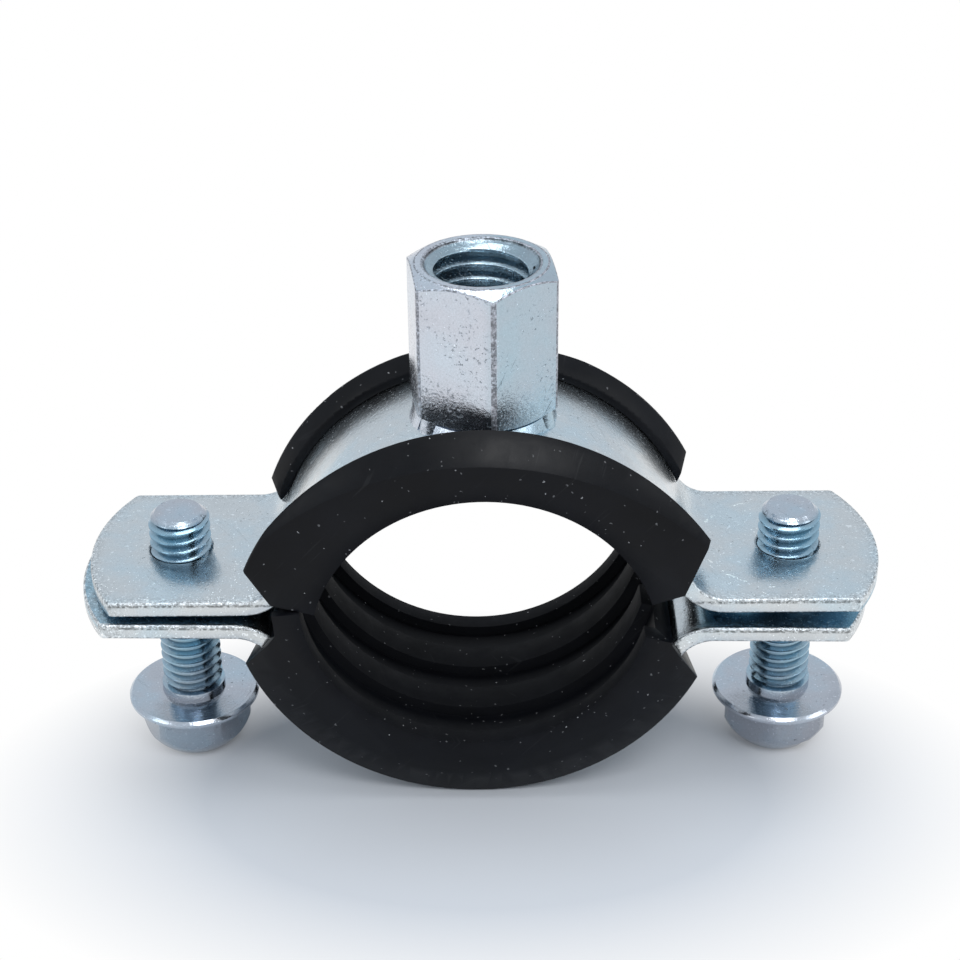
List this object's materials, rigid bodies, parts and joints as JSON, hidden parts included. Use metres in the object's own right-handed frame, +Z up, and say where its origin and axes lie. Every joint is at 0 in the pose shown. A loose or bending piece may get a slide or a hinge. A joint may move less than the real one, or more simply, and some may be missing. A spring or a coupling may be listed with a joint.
{
  "type": "rubber lined pipe clamp",
  "caption": "Two-piece steel pipe clamp with rubber lining, closed by flange-head screws through its ears and hung from a welded hexagonal combination nut on its crown.",
  "frame": {"origin": "on the ground under the axis of the nut, within half a millimetre of the middle of the bounding box", "axes": "+X across the two ears, to the right of the picture; +Y along the pipe, away from the camera; +Z up, along the threaded rod"},
  "size_m": [0.0769, 0.0221, 0.0523],
  "materials": {
    "zinc_plated_strip": "satin zinc plate",
    "zinc_plated_nut": "satin zinc plate",
    "zinc_plated_screw": "bright zinc plate",
    "black_rubber": "matte rubber"
  },
  "bodies": {
    "upper_half": {"upper_band": "zinc_plated_strip", "upper_liner": "black_rubber", "coupling_nut": "zinc_plated_nut"},
    "lower_half": {"lower_band": "zinc_plated_strip", "lower_liner": "black_rubber"},
    "left_screw": {"left_screw": "zinc_plated_screw"},
    "right_screw": {"right_screw": "zinc_plated_screw"}
  },
  "joints": [
    {"name": "lower_half_drop", "type": "slide", "parent": "upper_half", "child": "lower_half", "axis": [0, 0, -1], "range_m": [0, 0.0114]},
    {"name": "left_screw_turn", "type": "hinge", "parent": "upper_half", "child": "left_screw", "pos_m": [-0.0294, 0, 0.0223], "axis": [0, 0, 1], "continuous": true},
    {"name": "right_screw_turn", "type": "hinge", "parent": "upper_half", "child": "right_screw", "pos_m": [0.0294, 0, 0.0223], "axis": [0, 0, 1], "continuous": true}
  ]
}
